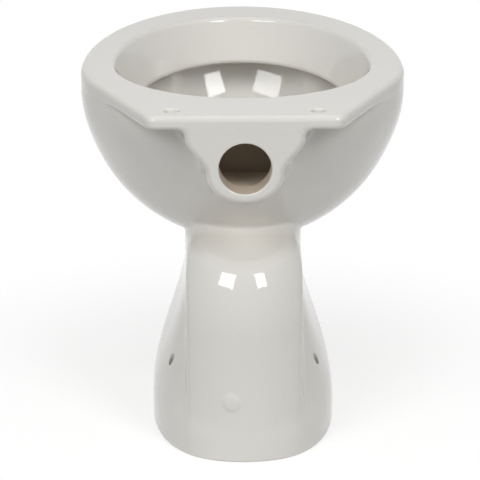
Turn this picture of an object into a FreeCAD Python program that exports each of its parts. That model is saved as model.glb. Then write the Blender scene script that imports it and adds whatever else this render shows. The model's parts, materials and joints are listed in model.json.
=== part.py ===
import FreeCAD, Part
import math
import os

import Sketcher

# A floor-standing washdown pan with its outlet straight down inside the pedestal.
# Frame: +Y to the front lip, -Y to the rear deck edge, +Z up, floor at Z = 0,
# origin on the floor under the middle of the outline.

SIZES = (
    ("pan_width", 360, "rim at its widest"),
    ("pan_length", 460, "rear deck edge to front lip"),
    ("pan_height", 400, "floor to rim"),
    ("widest_setback", 225, "rear edge to the widest line of the rim"),
    ("taper_setback", 163, "rear edge to where the deck starts to narrow"),
    ("deck_rear_width", 206, "deck across its rear edge"),
    ("deck_thickness", 15, "rim and deck slab"),
    ("deck_corner_radius", 14, "rear corners of the deck in plan"),
    ("shoulder_radius", 150, "bend of the outline where the deck starts"),
    ("rim_edge_radius", 9, "rounding of the slab's upper edges"),
    ("rim_side_width", 36, "flat rim beside the mouth"),
    ("rim_front_width", 59, "flat rim in front of the mouth"),
    ("deck_length", 74, "rear edge to the mouth"),
    ("apron_depth", 50, "rim top to the apron's lower edge"),
    ("apron_inset", 25, "how far the apron leans in over its depth"),
    ("apron_wall", 9, "apron and deflector"),
    ("china_wall", 11, "bowl and pedestal walls"),
    ("seat_hole_spacing", 155, "between the seat holes"),
    ("seat_hole_bore", 15, "seat hole"),
    ("seat_hole_setback", 23, "rear edge to the seat holes"),
    ("inlet_bore", 56, "flush pipe hole"),
    ("inlet_drop", 58, "rim top to the inlet's axis"),
    ("horn_wall", 9, "wall round the inlet"),
    ("horn_top_width", 124, "horn where it meets the deck"),
    ("bowl_rear_setback", 55, "rear edge to the bowl's rear wall under the deck"),
    ("bowl_equator_drop", 13, "deck underside to the level where the bowl starts to turn in"),
    ("bowl_nest", 33, "how far the bowl's underside lies below the top of the trap"),
    ("deflector_width", 120, "baffle across"),
    ("deflector_depth", 95, "baffle below the apron"),
    ("trap_bore", 72, "waterway of the trap"),
    ("trap_wall", 8, "wall of the trap"),
    ("trap_bend_radius", 46, "bends of the trap at their middle line"),
    ("trap_clearance", 5, "trap to the pedestal's floor and cover"),
    ("well_clearance", 1.5, "bowl's well to the trap and to the pedestal"),
    ("well_lip", 3, "bowl's underside to the level where the well starts"),
    ("well_lead", 6, "how far the well opens in front of the trap's throat"),
    ("trap_floor_gap", 10, "trap above the floor"),
    ("collar_height", 5, "collar that meets the bowl, above the first bend"),
    ("water_seal", 54, "depth of the water seal"),
    ("outlet_setback", 78, "rear edge to the outlet's axis"),
    ("outlet_diameter", 102, "spigot for the drain seal"),
    ("outlet_length", 40, "length of the spigot"),
    ("outlet_floor_gap", 8, "spigot above the floor"),
    ("outlet_chamfer", 4, "lead-in on the spigot"),
    ("neck_width", 130, "pedestal at its neck"),
    ("neck_rear_setback", 104, "rear edge to the neck behind the bowl"),
    ("neck_reach", 65, "how far the neck runs up round the bowl from its underside"),
    ("foot_width", 206, "foot on the floor"),
    ("foot_rear_setback", 14, "rear edge to the foot's flared skirt"),
    ("foot_toe", 4, "foot in front of the neck"),
    ("foot_upright", 20, "height to which the foot's edge is upright"),
    ("waist_height", 178, "height at which the flanks reach the neck's width"),
    ("pedestal_middle_setback", 185, "rear edge to the widest line of the pedestal"),
    ("cover_width", 124, "trap cover, across"),
    ("cover_setback", 9, "rear edge to the trap cover's upright face"),
    ("fixing_spacing", 158, "between the floor-screw holes on the flanks"),
    ("fixing_height", 85, "floor-screw holes above the floor"),
    ("fixing_bore", 11, "floor-screw hole"),
    ("fixing_rise_angle", 65, "slope of the floor screws, degrees above level"),
    ("fixing_turn_angle", 37, "turn of the floor screws from sideways to rearwards, degrees"),
    ("lug_diameter", 32, "thickened seat inside each flank"),
    ("lug_depth", 32, "seat's depth along the screw"),
    ("plug_diameter", 18, "clay plug"),
    ("plug_offset", 15, "plug to the left of the middle, seen from behind"),
    ("plug_height", 71, "plug above the floor"),
    ("plug_proud", 2, "plug proud of the cover"),
)

# Formulas used by more than one piece, written once for the bound features and the lofts alike.
REAR = "(-Sizes.pan_length / 2)"
DECK_UNDERSIDE = "(Sizes.pan_height - Sizes.deck_thickness)"
INLET_LEVEL = "(Sizes.pan_height - Sizes.inlet_drop)"
HORN_RADIUS = "(Sizes.inlet_bore / 2 + Sizes.horn_wall)"
TRAP_DIAMETER = "(Sizes.trap_bore + 2 * Sizes.trap_wall)"
TRAP_OUTER_BEND = f"(Sizes.trap_bend_radius + {TRAP_DIAMETER} / 2)"
OUTLET_Y = f"({REAR} + Sizes.outlet_setback)"
CROWN_Y = f"({OUTLET_Y} + Sizes.trap_bend_radius)"
SUMP_Y = f"({OUTLET_Y} + 3 * Sizes.trap_bend_radius)"
WELL_Y = f"({OUTLET_Y} + 4 * Sizes.trap_bend_radius)"
SUMP_Z = f"(Sizes.trap_floor_gap + {TRAP_OUTER_BEND})"
LEG_LENGTH = "(Sizes.water_seal - 2 * Sizes.trap_bend_radius + Sizes.trap_bore)"
CROWN_Z = f"({SUMP_Z} + {LEG_LENGTH})"
CROWN_TOP = f"({CROWN_Z} + {TRAP_OUTER_BEND})"
COLLAR_TOP = f"({SUMP_Z} + Sizes.collar_height)"
SPIGOT_TOP = "(Sizes.outlet_floor_gap + Sizes.outlet_length)"

UP = FreeCAD.Vector(0, 0, 1)
FORWARD = FreeCAD.Vector(0, 1, 0)
ACROSS = FreeCAD.Vector(1, 0, 0)

# How finely the smooth forms are cut into sections: angles below the bowl's equator in degrees,
# and shares of the height of the well and of the flanks.
SECTION_POINTS = 32
OUTER_TURNS = (0, 15, 30, 45, 55, 64, 72)
INNER_TURNS = (0, 18, 36, 52)
FUNNEL_SHARES = (0.33, 0.67)
WELL_SHARES = (0, 0.3, 0.6, 1)
FLANK_SHARES = (0, 0.08, 0.17, 0.27, 0.37, 0.47, 0.57, 0.67, 0.78, 0.89, 1)

# Squareness of the foot's and the neck's plan, as the power of a superellipse.
FOOT_POWER = 2.6
NECK_POWER = 3.2

# Cutting forms run this far past the faces that they cut, and faces this near count as one.
OVERCUT = 1
BELOW_FLOOR = 5
SAME_LEVEL = 1e-3

doc = FreeCAD.newDocument("washdown_pan")
sheet = doc.addObject("Spreadsheet::Sheet", "Sizes")
for row, (alias, number, note) in enumerate(SIZES, start=1):
    sheet.set(f"A{row}", note)
    sheet.set(f"B{row}", str(number))
    sheet.setAlias(f"B{row}", alias)
doc.recompute()


def value(expression):
    """Number that an expression on the sheet's sizes gives."""
    return float(sheet.evalExpression(expression))


def size(name):
    """One size from the sheet."""
    return value(f"Sizes.{name}")


rear_y = value(REAR)
front_y = -rear_y
deck_underside = value(DECK_UNDERSIDE)
inlet_level = value(INLET_LEVEL)
crown_y = value(CROWN_Y)
crown_z = value(CROWN_Z)
crown_top = value(CROWN_TOP)
outer_bend = value(TRAP_OUTER_BEND)
well_y = value(WELL_Y)
collar_top = value(COLLAR_TOP)
trap_radius = value(TRAP_DIAMETER) / 2
wall = size("china_wall")
widest_y = rear_y + size("widest_setback")
mouth_rear = rear_y + size("deck_length")
mouth_front = front_y - size("rim_front_width")
mouth_half = size("pan_width") / 2 - size("rim_side_width")
bowl_equator = deck_underside - size("bowl_equator_drop")
bowl_bottom = crown_top - size("bowl_nest")


def oval(z, half_width, middle, rear, front, power=2.0):
    """Closed smooth curve at height z: a superellipse with its own reach to the rear and front."""
    points = []
    for step in range(SECTION_POINTS):
        angle = 2 * math.pi * step / SECTION_POINTS
        across = math.cos(angle)
        along = math.sin(angle)
        reach = front - middle if along > 0 else middle - rear
        spread = (abs(across) / half_width) ** power + (abs(along) / reach) ** power
        radius = spread ** (-1 / power)
        points.append(FreeCAD.Vector(radius * across, middle + radius * along, z))
    curve = Part.BSplineCurve()
    curve.interpolate(Points=points, PeriodicFlag=True)
    return Part.Wire(curve.toShape())


def loft(wires, ruled=False):
    """Closed solid through section curves."""
    return Part.makeLoft(wires, True, ruled)


def rod(start, direction, diameter, length):
    """Round bar from a point along a direction."""
    return Part.makeCylinder(diameter / 2, length, start, direction)


def add_shape(label, shape):
    """Node whose shape is worked out from the sheet's sizes."""
    feature = doc.addObject("Part::Feature", label)
    feature.Label = label
    feature.Shape = shape
    return feature


def rounded_corner(before, corner, after, radius):
    """Arc that rounds one corner of an outline, tangent to both of its straight sides."""
    towards_before = (before - corner).normalize()
    towards_after = (after - corner).normalize()
    half_angle = towards_before.getAngle(towards_after) / 2
    bisector = (towards_before + towards_after).normalize()
    setback = radius / math.tan(half_angle)
    middle = corner + bisector * (radius / math.sin(half_angle) - radius)
    return Part.Arc(corner + towards_before * setback, middle, corner + towards_after * setback)


def slab_outline():
    """Plan of the rim and deck: half ellipse in front, tapering sides, straight rear edge."""
    half = size("pan_width") / 2
    taper_y = rear_y + size("taper_setback")
    rear_half = size("deck_rear_width") / 2
    corners = [FreeCAD.Vector(x, y, deck_underside) for x, y in (
        (half, widest_y), (half, taper_y), (rear_half, rear_y),
        (-rear_half, rear_y), (-half, taper_y), (-half, widest_y))]
    radii = [size("shoulder_radius"), size("deck_corner_radius")]
    edges = []
    point = corners[0]
    for index, radius in enumerate(radii + radii[::-1], start=1):
        arc = rounded_corner(corners[index - 1], corners[index], corners[index + 1], radius)
        edges.append(Part.LineSegment(point, arc.StartPoint).toShape())
        edges.append(arc.toShape())
        point = arc.EndPoint
    edges.append(Part.LineSegment(point, corners[-1]).toShape())
    unit_arc = Part.Arc(-ACROSS, FORWARD, ACROSS).toShape()
    stretch = FreeCAD.Matrix()
    stretch.scale(half, front_y - widest_y, 1)
    stretch.move(FreeCAD.Vector(0, widest_y, deck_underside))
    edges.append(unit_arc.transformGeometry(stretch))
    return Part.Wire(Part.__sortEdges__(edges))


def mouth(z, grow):
    """Ellipse of the bowl's mouth at height z; it narrows by the apron's lean."""
    inset = size("apron_inset") * (size("pan_height") - z) / size("apron_depth") - grow
    middle = FreeCAD.Vector(0, (mouth_rear + mouth_front) / 2, z)
    half_length = (mouth_front - mouth_rear) / 2
    ends = [middle + FORWARD * (half_length - inset), middle + ACROSS * (mouth_half - inset)]
    ends.sort(key=middle.distanceToPoint, reverse=True)
    return Part.Wire(Part.Ellipse(*ends, middle).toShape())


def top_edges(shape, closed):
    """Edges at the shape's top: closed ones go round the mouth, the others along the outline."""
    top = size("pan_height")
    return [edge for edge in shape.Edges
            if edge.BoundBox.ZMin > top - SAME_LEVEL and edge.isClosed() == closed]


def make_rim():
    """Flat rim and deck with rounded upper edges, seat holes and the apron round the mouth."""
    top = size("pan_height")
    apron_low = top - size("apron_depth")
    slab = Part.Face(slab_outline()).extrude(UP * size("deck_thickness"))
    slab = slab.makeFillet(size("rim_edge_radius"), top_edges(slab, False))
    apron_top = top - size("deck_thickness") / 2
    apron = loft([mouth(apron_low, size("apron_wall")), mouth(apron_top, size("apron_wall"))], True)
    opening = loft([mouth(apron_low, 0), mouth(top, 0)], True)
    rim = slab.fuse(apron).cut(opening).removeSplitter()
    rim = rim.makeFillet(size("rim_edge_radius"), top_edges(rim, True))
    for side in (-1, 1):
        hole_x = side * size("seat_hole_spacing") / 2
        foot = FreeCAD.Vector(hole_x, rear_y + size("seat_hole_setback"), deck_underside)
        rim = rim.cut(rod(foot, UP, size("seat_hole_bore"), size("deck_thickness")))
    return rim


def bowl_section(turn, inset):
    """Section of the bowl at an angle below its equator: an egg shape that shrinks by its cosine."""
    shrink = math.cos(turn)
    z = bowl_equator - (bowl_equator - bowl_bottom - inset) * math.sin(turn)
    half = (size("pan_width") / 2 - inset) * shrink
    rear = widest_y - (size("widest_setback") - size("bowl_rear_setback") - inset) * shrink
    front = widest_y + (front_y - widest_y - inset) * shrink
    return z, half, rear, front


def bowl_levels(turns, inset):
    """Sections of the bowl from the deck's underside down through the given angles."""
    top = bowl_section(0, inset)
    levels = [(deck_underside,) + top[1:]]
    return levels + [bowl_section(math.radians(turn), inset) for turn in turns]


def well_rear(z):
    """Rear of the well at height z: it keeps its wall clear of the trap's crown behind it."""
    reach = outer_bend + size("well_clearance") + size("trap_wall")
    rise = min(reach, max(0.0, z - crown_z))
    return crown_y + math.sqrt(reach ** 2 - rise ** 2)


def well_levels(last, grow):
    """Sections from the bowl's last section through a funnel and the well to the trap's collar."""
    well_top = bowl_bottom + size("well_lip")
    throat = size("trap_bore") / 2
    top_half = size("neck_width") / 2 - wall - size("well_clearance") - size("trap_wall")
    top_front = well_y + throat + size("well_lead")
    last_z, last_half, last_rear, last_front = last
    levels = []
    for share in FUNNEL_SHARES:
        z = last_z + (well_top - last_z) * share
        half = last_half + (top_half - last_half) * share
        front = last_front + (top_front - last_front) * share
        rear = last_rear + (well_rear(well_top) - last_rear) * share
        levels.append((z, half + grow, max(rear, well_rear(z)) - grow, front + grow))
    spare = well_y - throat - well_rear(collar_top)
    for share in WELL_SHARES:
        z = well_top + (collar_top - well_top) * share
        half = top_half + (throat - top_half) * share
        front = top_front - size("well_lead") * share
        levels.append((z, half + grow, well_rear(z) + spare * share - grow, front + grow))
    return levels


def sections(levels, middle):
    """Section curves through a list of levels."""
    return [oval(z, half, middle(z), rear, front) for z, half, rear, front in levels]


def bowl_middle(z):
    """Line on which the bowl and its well are widest, moving forward to the well's axis."""
    share = (z - collar_top) / (bowl_equator - collar_top)
    return well_y + (widest_y - well_y) * min(1.0, max(0.0, share))


def make_bowl_forms():
    """Outer form of the bowl with its well, and the hollow inside it."""
    outer_levels = bowl_levels(OUTER_TURNS, 0)
    inner_levels = bowl_levels(INNER_TURNS, wall)
    last = inner_levels[-1:]
    well = loft(sections(last + well_levels(last[0], 0), bowl_middle), True)
    sleeve = loft(sections(well_levels(last[0], size("trap_wall")), bowl_middle), True)
    outer = loft(sections(outer_levels, bowl_middle)).fuse(sleeve)
    return outer, loft(sections(inner_levels, bowl_middle)).fuse(well)


def make_bowl(outer, hollow):
    """Bowl's wall, pierced by the flush inlet and clear of the trap's crown."""
    crown = Part.makeTorus(size("trap_bend_radius"), trap_radius + size("well_clearance"),
                           FreeCAD.Vector(0, crown_y, crown_z), ACROSS)
    inlet_start = FreeCAD.Vector(0, rear_y, inlet_level)
    inlet = rod(inlet_start, FORWARD, size("inlet_bore"), size("widest_setback"))
    return outer.cut(hollow).cut(crown).cut(inlet)


def make_deflector(hollow):
    """Baffle that hangs from the apron's lower edge in front of the inlet."""
    top = size("pan_height") - size("apron_depth")
    drop = size("deflector_depth")
    outer = Part.Face(mouth(top, size("apron_wall"))).extrude(-UP * drop)
    inner = Part.Face(mouth(top, 0)).extrude(-UP * drop)
    span = size("deflector_width")
    corner = FreeCAD.Vector(-span / 2, rear_y, top - drop)
    return outer.cut(inner).common(Part.makeBox(span, widest_y - rear_y, drop, corner)).common(hollow)


def smooth_step(share):
    """S-curve from 0 to 1."""
    share = min(1.0, max(0.0, share))
    return share * share * (3 - 2 * share)


foot_middle = rear_y + size("pedestal_middle_setback")
neck_front = well_y + trap_radius + size("trap_clearance") + wall
neck_rear = rear_y + size("neck_rear_setback")


def flank_shape(z, inset):
    """Half-width, rear, front and squareness of the pedestal's skirt at height z."""
    upright = size("foot_upright")
    flare = 1 - smooth_step((z - upright) / (size("waist_height") - upright))
    half = size("neck_width") / 2 + (size("foot_width") - size("neck_width")) / 2 * flare
    rear = neck_rear - (neck_rear - rear_y - size("foot_rear_setback")) * flare
    front = neck_front + size("foot_toe") * flare
    power = NECK_POWER + (FOOT_POWER - NECK_POWER) * flare
    return half - inset, rear + inset, front - inset, power


def flank_form(inset, bottom):
    """Skirt of the pedestal from the floor to inside the bowl's underside."""
    top = bowl_bottom + size("neck_reach")
    wires = []
    for share in FLANK_SHARES:
        z = bottom + (top - bottom) * share
        half, rear, front, power = flank_shape(z, inset)
        wires.append(oval(z, half, foot_middle, rear, front, power))
    return loft(wires)


def cover_form(inset, bottom):
    """Trap cover: upright at the rear, then a quarter-round dome over the trap's crown."""
    dome_y = crown_y - wall - size("trap_clearance")
    dome_rise = outer_bend + wall + size("trap_clearance") - inset
    upright_y = rear_y + size("cover_setback") + inset
    front = crown_y + trap_radius - inset
    half = size("cover_width") / 2 - inset
    low = bottom - OVERCUT
    top = crown_z + dome_rise
    back = upright_y - OVERCUT
    ahead = front + OVERCUT
    corners = [FreeCAD.Vector(-half - OVERCUT, y, z) for y, z in (
        (back, crown_z), (back, low), (ahead, low), (ahead, top), (dome_y, top))]
    slope = math.sqrt(0.5)
    unit_arc = Part.Arc(-FORWARD, FreeCAD.Vector(0, -slope, slope), UP).toShape()
    stretch = FreeCAD.Matrix()
    stretch.scale(1, dome_y - back, dome_rise)
    stretch.move(FreeCAD.Vector(-half - OVERCUT, dome_y, crown_z))
    side_edges = Part.makePolygon(corners).Edges + [unit_arc.transformGeometry(stretch)]
    side_face = Part.Face(Part.Wire(Part.__sortEdges__(side_edges)))
    side = side_face.extrude(ACROSS * 2 * (half + OVERCUT))
    plan = oval(bottom, half, dome_y + wall, upright_y, front, NECK_POWER)
    return Part.Face(plan).extrude(UP * (top + OVERCUT - bottom)).common(side)


def fixing_line(side):
    """Entry point of a floor screw on the flank and the direction from which it comes."""
    height = size("fixing_height")
    across = size("fixing_spacing") / 2
    half, rear, _, power = flank_shape(height, 0)
    along = (1 - (across / half) ** power) ** (1 / power)
    entry = FreeCAD.Vector(side * across, foot_middle - (foot_middle - rear) * along, height)
    rise = math.radians(size("fixing_rise_angle"))
    turn = math.radians(size("fixing_turn_angle"))
    level = math.cos(rise)
    return entry, FreeCAD.Vector(side * level * math.cos(turn), -level * math.sin(turn), math.sin(rise))


def fixing_bar(side, diameter, inward, outward):
    """Bar along a floor screw, reaching inward and outward from the flank's surface."""
    entry, direction = fixing_line(side)
    return rod(entry - direction * inward, direction, diameter, inward + outward)


def make_lug(side, hollow):
    """Thickened seat behind the flank, on the inside, with the screw's hole."""
    depth = size("lug_depth")
    seat = fixing_bar(side, size("lug_diameter"), depth, depth).common(hollow)
    return seat.cut(fixing_bar(side, size("fixing_bore"), 2 * depth, depth))


def plug_bar(length_out):
    """Bar along the drain plug, from the cover's inner face outwards."""
    inner_y = rear_y + size("cover_setback") + wall
    start = FreeCAD.Vector(-size("plug_offset"), inner_y, size("plug_height"))
    return rod(start, -FORWARD, size("plug_diameter"), wall + length_out)


def make_pedestal(bowl_form):
    """Hollow pedestal, open below, with its cover over the trap; also returns the skirt's hollow."""
    solid = flank_form(0, 0).fuse(cover_form(0, 0))
    hollow = flank_form(wall, -BELOW_FLOOR)
    shell = solid.cut(hollow).cut(cover_form(wall, -BELOW_FLOOR)).cut(bowl_form).cut(plug_bar(wall))
    for side in (-1, 1):
        shell = shell.cut(fixing_bar(side, size("fixing_bore"), size("lug_depth"), size("lug_depth")))
    return shell, hollow


def origin_plane(body, role):
    """One of a body's own origin planes or axes."""
    return next(item for item in body.Origin.OriginFeatures if item.Role == role)


def add_body(label, y, z):
    """Body whose own origin lies in the middle plane at the given bound place."""
    body = doc.addObject("PartDesign::Body", label)
    body.Label = label
    body.setExpression("Placement.Base.y", y)
    body.setExpression("Placement.Base.z", z)
    return body


def add_sketch(body, name, role):
    """Sketch on one of the body's origin planes."""
    sketch = body.newObject("Sketcher::SketchObject", name)
    sketch.AttachmentSupport = [(origin_plane(body, role), "")]
    sketch.MapMode = "FlatFace"
    return sketch


def constrain(sketch, expression, kind, *geometry):
    """Dimension bound to an expression on the sizes."""
    index = sketch.addConstraint(Sketcher.Constraint(kind, *geometry, value(expression)))
    sketch.setExpression(f"Constraints[{index}]", expression)


def add_circle(sketch, height, diameter):
    """Circle centred on the sketch's upright axis."""
    middle = FreeCAD.Vector(0, value(height), 0)
    circle = sketch.addGeometry(Part.Circle(middle, UP, value(diameter) / 2))
    sketch.addConstraint(Sketcher.Constraint("PointOnObject", circle, 3, -2))
    constrain(sketch, height, "DistanceY", -1, 1, circle, 3)
    constrain(sketch, diameter, "Diameter", circle)


def pipe_ring(body, name, offset):
    """Sketch of the trap's cross-section, beside the bend's axis."""
    sketch = add_sketch(body, name, "XY_Plane")
    add_circle(sketch, offset, TRAP_DIAMETER)
    add_circle(sketch, offset, "Sizes.trap_bore")
    return sketch


def add_bend(body, offset):
    """Half turn of the trap's pipe about the body's X axis."""
    bend = body.newObject("PartDesign::Revolution", "bend")
    bend.Profile = pipe_ring(body, "bend_ring", offset)
    bend.ReferenceAxis = (origin_plane(body, "X_Axis"), [""])
    bend.Angle = 180


def add_leg(body, name, offset, length, downwards=False):
    """Straight leg of the trap's pipe from one end of the bend."""
    leg = body.newObject("PartDesign::Pad", name)
    leg.Profile = pipe_ring(body, f"{name}_ring", offset)
    leg.setExpression("Length", length)
    leg.Reversed = downwards


def make_sump_bend():
    """First bend of the trap: collar under the well, half turn, and the rising leg."""
    body = add_body("sump_bend", SUMP_Y, SUMP_Z)
    add_bend(body, "-Sizes.trap_bend_radius")
    add_leg(body, "rising_leg", "-Sizes.trap_bend_radius", LEG_LENGTH)
    add_leg(body, "collar", "Sizes.trap_bend_radius", "Sizes.collar_height")
    return body


def make_crown_bend():
    """Second bend of the trap, over the weir, and the leg down to the spigot."""
    body = add_body("crown_bend", CROWN_Y, CROWN_Z)
    add_bend(body, "Sizes.trap_bend_radius")
    add_leg(body, "falling_leg", "-Sizes.trap_bend_radius", f"{CROWN_Z} - {SPIGOT_TOP}", True)
    return body


def make_outlet_spigot():
    """Thick ring at the trap's end, chamfered to enter the drain seal."""
    body = add_body("outlet_spigot", OUTLET_Y, "Sizes.outlet_floor_gap")
    sketch = add_sketch(body, "spigot_ring", "XY_Plane")
    add_circle(sketch, "0", "Sizes.outlet_diameter")
    add_circle(sketch, "0", "Sizes.trap_bore")
    ring = body.newObject("PartDesign::Pad", "ring")
    ring.Profile = sketch
    ring.setExpression("Length", "Sizes.outlet_length")
    doc.recompute()
    lower_rim = [f"Edge{index}" for index, edge in enumerate(ring.Shape.Edges, start=1)
                 if edge.Closed and edge.BoundBox.ZMax < SAME_LEVEL
                 and edge.BoundBox.XLength > value(TRAP_DIAMETER)]
    chamfer = body.newObject("PartDesign::Chamfer", "lead_in")
    chamfer.Base = (ring, lower_rim)
    chamfer.setExpression("Size", "Sizes.outlet_chamfer")
    return body


def make_inlet_horn(bowl_object):
    """Boss under the deck: a round wall about the bore that widens up to the deck."""
    body = add_body("horn_block", REAR, INLET_LEVEL)
    sketch = add_sketch(body, "horn_face", "XZ_Plane")
    radius = value(HORN_RADIUS)
    top = deck_underside - inlet_level
    half = size("horn_top_width") / 2
    tangent_angle = math.atan2(top, half) - math.acos(radius / math.hypot(half, top))
    touch = FreeCAD.Vector(radius * math.cos(tangent_angle), radius * math.sin(tangent_angle), 0)
    mirrored = FreeCAD.Vector(-touch.x, touch.y, 0)
    right = FreeCAD.Vector(half, top, 0)
    left = FreeCAD.Vector(-half, top, 0)
    lower = Part.ArcOfCircle(Part.Circle(FreeCAD.Vector(), UP, radius),
                             math.pi - tangent_angle, 2 * math.pi + tangent_angle)
    arc, right_side, top_side, left_side = sketch.addGeometry([
        lower, Part.LineSegment(touch, right), Part.LineSegment(right, left),
        Part.LineSegment(left, mirrored)])
    sketch.addConstraint([
        Sketcher.Constraint("Coincident", arc, 3, -1, 1),
        Sketcher.Constraint("Tangent", arc, 2, right_side, 1),
        Sketcher.Constraint("Coincident", right_side, 2, top_side, 1),
        Sketcher.Constraint("Coincident", top_side, 2, left_side, 1),
        Sketcher.Constraint("Tangent", left_side, 2, arc, 1),
        Sketcher.Constraint("Symmetric", top_side, 1, top_side, 2, -2)])
    constrain(sketch, HORN_RADIUS, "Radius", arc)
    constrain(sketch, "Sizes.horn_top_width", "DistanceX", top_side, 2, top_side, 1)
    constrain(sketch, f"{DECK_UNDERSIDE} - {INLET_LEVEL}", "DistanceY", -1, 1, top_side, 1)
    block = body.newObject("PartDesign::Pad", "block")
    block.Profile = sketch
    block.setExpression("Length", "Sizes.widest_setback")
    block.Reversed = True
    bore_sketch = add_sketch(body, "bore_circle", "XZ_Plane")
    add_circle(bore_sketch, "0", "Sizes.inlet_bore")
    bore = body.newObject("PartDesign::Pocket", "bore")
    bore.Profile = bore_sketch
    bore.Type = "ThroughAll"
    bore.Midplane = True
    horn = doc.addObject("Part::Cut", "inlet_horn")
    horn.Label = "inlet_horn"
    horn.Base = body
    horn.Tool = bowl_object
    return horn


def make_drain_plug():
    """Round clay plug through the trap cover, a little proud and rounded over."""
    bar = plug_bar(size("plug_proud"))
    outer_y = bar.BoundBox.YMin
    rim_edges = [edge for edge in bar.Edges if edge.BoundBox.YMax < outer_y + SAME_LEVEL]
    return bar.makeFillet(size("plug_proud"), rim_edges)


bowl_form, bowl_hollow = make_bowl_forms()
pedestal_shell, pedestal_hollow = make_pedestal(bowl_form)
bowl_block = add_shape("bowl_block", bowl_form)
nodes = [
    add_shape("rim", make_rim()),
    add_shape("bowl", make_bowl(bowl_form, bowl_hollow)),
    make_inlet_horn(bowl_block),
    add_shape("flush_deflector", make_deflector(bowl_hollow)),
    make_sump_bend(),
    make_crown_bend(),
    make_outlet_spigot(),
    add_shape("pedestal", pedestal_shell),
    add_shape("floor_lug_left", make_lug(-1, pedestal_hollow)),
    add_shape("floor_lug_right", make_lug(1, pedestal_hollow)),
    add_shape("drain_plug", make_drain_plug()),
]
doc.recompute()

for item in doc.Objects:
    if "Invalid" in item.State or "Error" in item.State:
        raise RuntimeError(f"{item.Label} failed: {item.State}")
for node in nodes:
    if node.Shape.isNull() or not node.Shape.isValid() or not node.Shape.Solids:
        raise RuntimeError(f"{node.Label} has no sound shape")

os.makedirs("parts", exist_ok=True)
for node in nodes:
    node.Shape.exportStep(f"parts/{node.Label}.step")
    box = node.Shape.BoundBox
    print(node.Label, len(node.Shape.Solids), "solid,", round(node.Shape.Volume / 1000), "cm3,",
          [round(number, 1) for number in (box.XMin, box.XMax, box.YMin, box.YMax, box.ZMin, box.ZMax)])
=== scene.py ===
import itertools
import json
import math

import bpy
import numpy as np
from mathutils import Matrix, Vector


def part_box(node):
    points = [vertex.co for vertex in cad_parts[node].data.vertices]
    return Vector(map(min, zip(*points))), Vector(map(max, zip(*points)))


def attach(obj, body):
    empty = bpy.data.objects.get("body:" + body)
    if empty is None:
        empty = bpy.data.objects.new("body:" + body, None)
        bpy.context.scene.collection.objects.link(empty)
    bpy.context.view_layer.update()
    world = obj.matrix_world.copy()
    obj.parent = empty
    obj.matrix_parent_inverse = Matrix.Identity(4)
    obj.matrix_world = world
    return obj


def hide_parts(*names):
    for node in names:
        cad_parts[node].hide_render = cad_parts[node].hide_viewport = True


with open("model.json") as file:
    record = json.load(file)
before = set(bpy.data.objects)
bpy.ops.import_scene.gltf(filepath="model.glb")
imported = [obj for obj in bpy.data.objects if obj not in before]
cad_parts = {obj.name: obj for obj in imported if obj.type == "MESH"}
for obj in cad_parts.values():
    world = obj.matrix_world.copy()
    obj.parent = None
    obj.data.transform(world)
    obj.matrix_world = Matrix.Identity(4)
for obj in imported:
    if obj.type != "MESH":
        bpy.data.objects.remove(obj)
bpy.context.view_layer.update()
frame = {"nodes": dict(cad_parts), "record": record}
mounts = {mount["name"]: mount for mount in frame["record"]["mounts"]}
MILLIMETRE = 0.001

# Deck and rim, in metres
RIM_LOW, RIM_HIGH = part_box("rim")
HALF_WIDTH, FRONT, TOP = RIM_HIGH
REAR = RIM_LOW.y
DECK_THICKNESS = 0.015
UNDERSIDE = TOP - DECK_THICKNESS
DECK_REAR_HALF = 0.103
DECK_CORNER = 0.014
SHOULDER = 0.150
WIDEST_Y = REAR + 0.225
FRONT_ARCH_Y = REAR + 0.200
TAPER_Y = REAR + 0.163
EDGE_ABOVE = 0.0065
EDGE_BELOW = 0.005
EDGE_SPLIT = UNDERSIDE + 0.006
RIM_SIDE = 0.036
RIM_FRONT = 0.056
DECK_LENGTH = 0.0715
MOUTH_HALF = HALF_WIDTH - RIM_SIDE
MOUTH_MIDDLE = REAR + 0.208
MOUTH_REAR = REAR + DECK_LENGTH
MOUTH_FRONT = FRONT - RIM_FRONT
MOUTH_EDGE = 0.0065
APRON_DEPTH = 0.053
APRON_LOW = TOP - APRON_DEPTH
APRON_LEAN_FRONT = 0.015
APRON_LEAN_SIDE = 0.026
APRON_WALL = 0.009
APRON_EDGE = 0.004
RIM_SEAM_SHARE = 0.94
SEAT_HOLE_DEPTH = 0.04
SEAT_HOLE_FLARE = 0.0025

# Bowl
WALL = 0.011
BOWL_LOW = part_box("bowl")[0]
BOWL_EQUATOR = TOP - 0.0245
BOWL_DEPTH = 0.181
BOWL_REAR = WIDEST_Y - BOWL_LOW.y
BOWL_FRONT = FRONT - WIDEST_Y
BOWL_COVERED = UNDERSIDE + 0.004
BOWL_SWELL = 0.020
BOWL_SWELL_ROUND = 0.012
BOWL_SWELL_DEPTH = 0.5
COLLAR = BOWL_LOW.z
INSIDE_TOP = TOP - 0.029
WELL_Y = 0.032
WELL_HALF = 0.036
WELL_TOP = 0.194
WELL_LEAD = 0.0085
WELL_LEAD_MOST = 1.4
WELL_BLEND = 0.022
CROWN_LOW, CROWN_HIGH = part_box("crown_bend")
TRAP_HALF = CROWN_HIGH.x
CROWN_BEND = TRAP_HALF + 0.046
CROWN_Y = CROWN_LOW.y + CROWN_BEND
CROWN_Z = CROWN_HIGH.z - CROWN_BEND
CROWN_CLEAR = CROWN_BEND + 0.0095
FAR_BEHIND = -0.3
SLEEVE = 0.008
SLEEVE_TOP = CROWN_HIGH.z - 0.002
SLEEVE_DROP = 0.006
RIM_GAP = 0.001

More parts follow.
